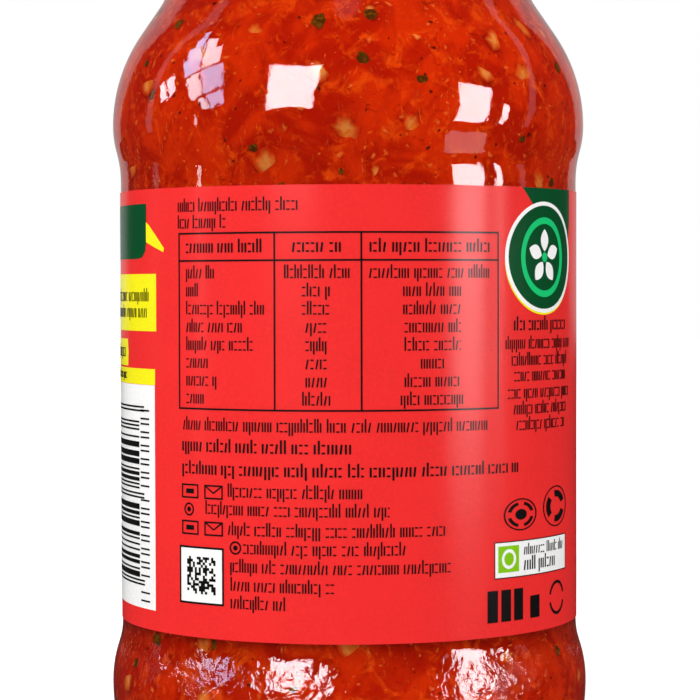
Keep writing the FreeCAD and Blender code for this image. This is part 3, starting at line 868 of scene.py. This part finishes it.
def word_row(start, end, middle, tall=1.42, line=0.235):
    """A row of print: uprights, short dashes and slants in groups as long as words."""
    foot, head = middle - tall / 2, middle + tall / 2
    across = start
    while across < end - line:
        stop = min(end, across + setter.uniform(2.2, 7.0) * tall / 1.35)
        if end - stop < tall:
            stop = end
        while across < stop - line * 0.9:
            kind = setter.random()
            wide = line
            if kind < upright_share:
                shapes = [plate(across, foot, across + wide, head)]
            elif kind < tall_share:
                shapes = [plate(across, foot, across + wide, head + tall * riser)]
            elif kind < deep_share:
                shapes = [plate(across, foot - tall * tail, across + wide, head)]
            elif kind < dash_share:
                wide = min(tall * dash_wide, stop - across)
                shapes = [
                    plate(across, foot, across + wide, foot + line * 0.85),
                    plate(across, head - line * 0.85, across + wide, head),
                ]
            else:
                wide = min(tall * slant_wide, stop - across)
                shapes = [stroke(across + line / 2, foot, across + wide - line / 2, head, line)]
            draw(*shapes)
            across += wide + line * setter.uniform(0.75, 1.05)
        across += tall * word_gap


def centred_row(centre, wide, middle, **settings):
    """A row of print set on a middle line."""
    word_row(centre - wide / 2, centre + wide / 2, middle, **settings)


# The facts panel: two heading rows, a ruled table of eight rows and its footnote.
table_left, table_right, table_foot, table_head = -28.45, 23.9, 34.5, 60.8
table_columns, table_rule, heading_rule = (-11.3, 1.7), 0.26, 56.7
box_rule, fold_line, bold_line = 0.24, 0.22, 0.31
word_row(-28.7, -7.4, 64.8)
word_row(-28.7, -19.1, 62.3)
draw(*frame_lines(table_left, table_foot, table_right, table_head, table_rule))
draw(stroke(table_left, heading_rule, table_right, heading_rule, table_rule))
for across in table_columns:
    draw(stroke(across, table_foot, across, table_head, table_rule))
for start, end in ((-26.95, -13.0), (-8.6, -1.2), (2.9, 22.3)):
    word_row(start, end, 58.6, line=0.30)
row_tops, row_pitch = 54.75, 2.68
name_ends = (-21.4, -24.4, -12.8, -16.4, -14.5, -22.6, -20.7, -23.4)
second_widths = (9.8, 4.4, 4.4, 3.4, 3.4, 3.4, 3.4, 4.4)
third_widths = (19.6, 9.4, 9.4, 9.0, 9.0, 4.0, 9.0, 10.2)
for row, sizes in enumerate(zip(name_ends, second_widths, third_widths)):
    level = row_tops - row * row_pitch
    word_row(-26.95, sizes[0], level)
    centred_row(-4.9, sizes[1], level)
    centred_row(12.6, sizes[2], level)
word_row(-27.7, 21.9, 32.0)

# Below the table: two bold rows, then short rows that open with a box and an envelope, or a dot.
word_row(-27.9, 0.6, 28.8, line=bold_line)
word_row(-27.9, 28.5, 25.4, line=bold_line)
for start, end, level in (
    (-19.1, 1.85, 22.2), (-23.2, 5.8, 19.5), (-19.1, 14.4, 16.5), (-16.5, 8.3, 13.8),
    (-18.7, 15.55, 11.0), (-18.65, -2.25, 8.2), (-18.65, -9.4, 5.55),
):
    word_row(start, end, level)
box_left, box_wide, box_tall, envelope_left = -27.9, 3.2, 1.9, -23.3
for foot in (21.1, 15.6):
    head, dip = foot + box_tall, foot + 0.8
    peak, right = envelope_left + box_wide / 2, envelope_left + box_wide
    draw(
        *frame_lines(box_left, foot, box_left + box_wide, head, box_rule),
        plate(box_left + 0.8, foot + 0.6, box_left + 2.4, foot + 1.3),
        *frame_lines(envelope_left, foot, right, head, box_rule),
        stroke(envelope_left, head, peak, dip, fold_line),
        stroke(peak, dip, right, head, fold_line),
    )
for across, above in ((-26.5, 19.3), (-17.8, 13.9)):
    draw(*hoop(across, above, 0.75, 1.0))
    draw(disc(across, above, 0.38, corners=16))

# A ruled white square with cells scattered on it.
square = (-28.4, 5.2, -20.0, 13.6)
lay("white", 1, plate(*square))
draw(*frame_lines(*square, 0.3))
cell, cells, cell_share, cells_left, cells_foot = 0.4, 14, 0.52, -26.95, 6.6
for column in range(cells):
    for row in range(cells):
        if setter.random() < cell_share:
            left, foot = cells_left + column * cell, cells_foot + row * cell
            draw(plate(left, foot, left + cell * 1.02, foot + cell * 1.02))

# The round seal: a flower of five petals in a ring, with a short column of rows under it.
seal_x, seal_y, seal_wide, seal_tall = 34.9, 57.2, 9.6, 8.5
petals, petal_root, petal_long, petal_wide = 5, 0.9, 3.4, 2.2
lay("yellow", 1, disc(seal_x - 0.15, seal_y - 0.4, seal_wide - 0.15, seal_tall - 0.1))
lay("white", 2, disc(seal_x, seal_y, seal_wide, seal_tall))
lay("dark_green", 3, disc(seal_x, seal_y, seal_wide - 0.75, seal_tall - 0.6))
lay("bright_green", 4, *hoop(seal_x, seal_y, 5.1, 6.1))
for petal in range(petals):
    turn = 90 + 360 / petals * petal
    lean = math.radians(turn)
    root_x, root_y = seal_x + petal_root * math.cos(lean), seal_y + petal_root * math.sin(lean)
    lay("white", 5, leaf(root_x, root_y, petal_long, petal_wide, turn))
lay("bright_green", 6, disc(seal_x, seal_y, 0.75, corners=24))
centred_row(34.8, 15.2, 46.85, line=0.33, tall=1.5)
for wide, level in (
    (19.0, 44.0), (16.4, 41.5), (15.3, 39.1), (18.1, 36.5), (15.6, 34.1), (14.4, 31.7),
):
    centred_row(seal_x, wide, level)

# Two small dials, a white box with a lime square, and four bold blocks beside an open ring.
dial, squash = (28.8, 18.2), 0.64
draw(*hoop(*dial, 3.5, 3.8, squash))
draw(*(bend(*dial, 2.3, 3.0, start, start + 60, squash) for start in (15, 105, 195, 285)))
draw(disc(*dial, 1.3, 0.8))
dial, squash = (38.6, 18.8), 0.76
draw(*hoop(*dial, 3.9, 4.15, squash))
draw(*(bend(*dial, 1.9, 3.2, start, start + 80, squash) for start in (20, 140, 260)))
box = (23.2, 8.8, 42.4, 14.2)
lay("white", 1, plate(*box))
draw(*frame_lines(*box, 0.14))
lay("lime", 2, plate(23.9, 9.6, 28.3, 13.6))
lay("white", 4, *hoop(26.1, 11.6, 1.0, 1.5))
word_row(29.4, 41.2, 12.6, tall=1.2, line=0.24)
word_row(29.4, 38.6, 10.4, tall=1.5, line=0.32)
for left, right, head in (
    (21.8, 23.8, 7.0), (24.5, 26.5, 7.0), (27.2, 29.2, 7.0), (31.0, 33.4, 5.6),
):
    draw(plate(left, 2.2, right, head))
draw(*(bend(39.0, 4.6, 2.2, 2.65, start, start + 150) for start in (15, 195)))

# Round the left side: a yellow flash, three yellow panels, and a white one with bars on it and
# a column of dashes beside them.
lay("yellow", 2, [
    (-37.3, 62.75), (-36.4, 62.3), (-34.6, 60.9), (-32.1, 58.7), (-32.3, 58.1), (-37.3, 59.7),
])
lay("yellow", 1, plate(-62.0, 46.0, -34.3, 54.8))
for end, level in ((-36.2, 51.3), (-37.0, 48.8)):
    word_row(-60.5, end, level)
lay("yellow", 1, [(-62, 40.5), (-45.3, 40.5), (-45.0, 42.6), (-45.4, 44.7), (-62, 44.7)])
word_row(-60.5, -46.8, 42.6)
lay("yellow", 1, plate(-62.0, 37.75, -34.7, 40.2))
word_row(-60.5, -46.0, 39.0, tall=1.0)
lay("white", 1, plate(-62.0, 3.1, -34.8, 37.7))
bar_left, bar_right, guard_right = -59.5, -40.0, -38.2
bar_foot, bar_head, modules = 6.6, 34.4, 95
module = (bar_head - bar_foot) / modules
first_bar, last_bar, gap_start, gap_end = 4, 90, 45, 50
bars = [(guard, 1, guard_right) for guard in (0, 2, 46, 48, 92, 94)]
place = first_bar
while place < last_bar:
    thick = setter.choice((1, 1, 2, 3))
    if not (gap_start - thick <= place <= gap_end):
        bars.append((place, thick, bar_right))
    place += thick + setter.choice((1, 1, 2, 2, 3))
for start, thick, right in bars:
    foot = bar_foot + start * module
    draw(plate(bar_left, foot, right, foot + thick * module))
dash_pitch, dash_thick = 2.08, 0.28
dash_levels = [4.9] + [half + dash_pitch * place for half in (8.8, 22.7) for place in range(6)]
for level in dash_levels:
    for foot in (level - 0.78, level + 0.5):
        draw(plate(-39.5, foot, -36.5, foot + dash_thick))

# A dark green patch behind the seal, and a banner that starts on the left and runs on round the
# far side. Under the banner's end stand more rows of strokes.
round_label = math.tau * label_turn / mm
print_head = label_height / mm - 0.02
lay("dark_green", 1, [
    (29.2, print_head), (31.8, 65.2), (33.9, 60.0), (42.0, 57.0), (44.2, 60.2), (44.7, 63.0),
    (44.7, print_head),
])
banner_foot, banner_head, banner_rise, banner_drop = 57.15, 65.6, 5.0, 9.5
banner_start, banner_end, banner_steps = -60.0, 62.0 - round_label, 24
banner = [
    (-40.2, banner_foot), (-38.6, 57.4), (-37.6, 58.3), (-37.25, 59.8), (-37.25, banner_head),
]
shares = [step / banner_steps for step in range(banner_steps + 1)]
for share in shares:
    banner.append((banner_start + (banner_end - banner_start) * share,
                   min(print_head, banner_head + banner_rise * math.sin(math.pi * share))))
for share in reversed(shares):
    banner.append((banner_start + (banner_end - banner_start) * share,
                   banner_foot - banner_drop * math.sin(math.pi * share) ** 2))
lay("dark_green", 1, banner)
list_left, list_right, list_head, list_rows, list_pitch = 62.0, 89.5, 54.0, 17, 2.5
for row in range(list_rows):
    last_in_group = row % 6 == 5
    word_row(list_left, 79.0 if last_in_group else list_right, list_head - row * list_pitch)


def print_ink(name, material, shapes):
    """Rolls an ink's flat shapes onto the label, as thin closed plates."""
    vertices, faces = [], []
    for layer, outline in shapes:
        flat = bmesh.new()
        area = sum(a[0] * b[1] - b[0] * a[1] for a, b in zip(outline, outline[1:] + outline[:1]))
        points = outline if area > 0 else outline[::-1]
        flat.faces.new([flat.verts.new((x, y, 0)) for x, y in points])
        for axis, facet in ((0, facet_across), (1, facet_up)):
            start = min(point[axis] for point in points)
            span = max(point[axis] for point in points) - start
            cuts = math.ceil(span / facet)
            normal = (1, 0, 0) if axis == 0 else (0, 1, 0)
            for cut in range(1, cuts):
                spot = [0, 0, 0]
                spot[axis] = start + span * cut / cuts
                whole = flat.verts[:] + flat.edges[:] + flat.faces[:]
                bmesh.ops.bisect_plane(flat, geom=whole, plane_co=spot, plane_no=normal)
        if len(outline) > 4:
            bmesh.ops.triangulate(flat, faces=flat.faces[:])
        flat.verts.index_update()
        base, count = len(vertices), len(flat.verts)
        for lift in (layer * ink_step, layer * ink_step + ink_thick):
            vertices.extend(on_paper(vert.co.x, vert.co.y, lift) for vert in flat.verts)
        for face in flat.faces:
            corners = [base + vert.index for vert in face.verts]
            faces.append([corner + count for corner in corners])
            faces.append(corners[::-1])
        for edge in flat.edges:
            if edge.is_boundary:
                loop = edge.link_loops[0]
                a, b = base + loop.vert.index, base + loop.link_loop_next.vert.index
                faces.append([a, b, b + count, a + count])
        flat.free()
    piece = new_piece(name, vertices, faces, material, smooth=False)
    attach(piece, "root")


ink_colours = {
    "black": (0.006, 0.005, 0.005), "white": (0.88, 0.88, 0.87), "yellow": (0.88, 0.80, 0.006),
    "dark_green": (0.0015, 0.068, 0.018), "bright_green": (0.006, 0.54, 0.16),
    "lime": (0.22, 0.54, 0.003),
}
for ink, shapes in inks.items():
    print_ink(f"print_{ink}", print_finish(f"{ink}_ink", ink_colours[ink]), shapes)

# ---- The lid ----------------------------------------------------------------------------
# A twist-off lid pressed from lacquered tinplate and turned down until its lugs sit under the
# four ridges. A ring of soft compound, cast in its channel, seals it on the rim.


def lid_finish(name, low_tone, high_tone, roughness, gloss):
    """A coating over the whole piece, in two tones that drift, with a faint orange peel."""
    material, tree = new_material(name)
    drift = ranged(tree, noise_node(tree, 0.014, 3), 0.35, 0.65)
    peel = noise_node(tree, 0.0009, 2)
    tone = blended(tree, drift, low_tone, high_tone)
    opaque(tree, tone, roughness, gloss, bumped(tree, peel, 0.08, 0.0002))
    return material


lacquer = lid_finish("green_lacquer", (0.0030, 0.050, 0.016), (0.0036, 0.060, 0.019), 0.22, 0.5)
compound = lid_finish("sealing_compound", (0.52, 0.49, 0.42), (0.58, 0.55, 0.47), 0.6, 0.3)
for node, slot, coat in (("lid", "lid", lacquer), ("lid_seal", "seal", compound)):
    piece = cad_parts[node]
    piece.data.materials.clear()
    piece.data.materials.append(coat)
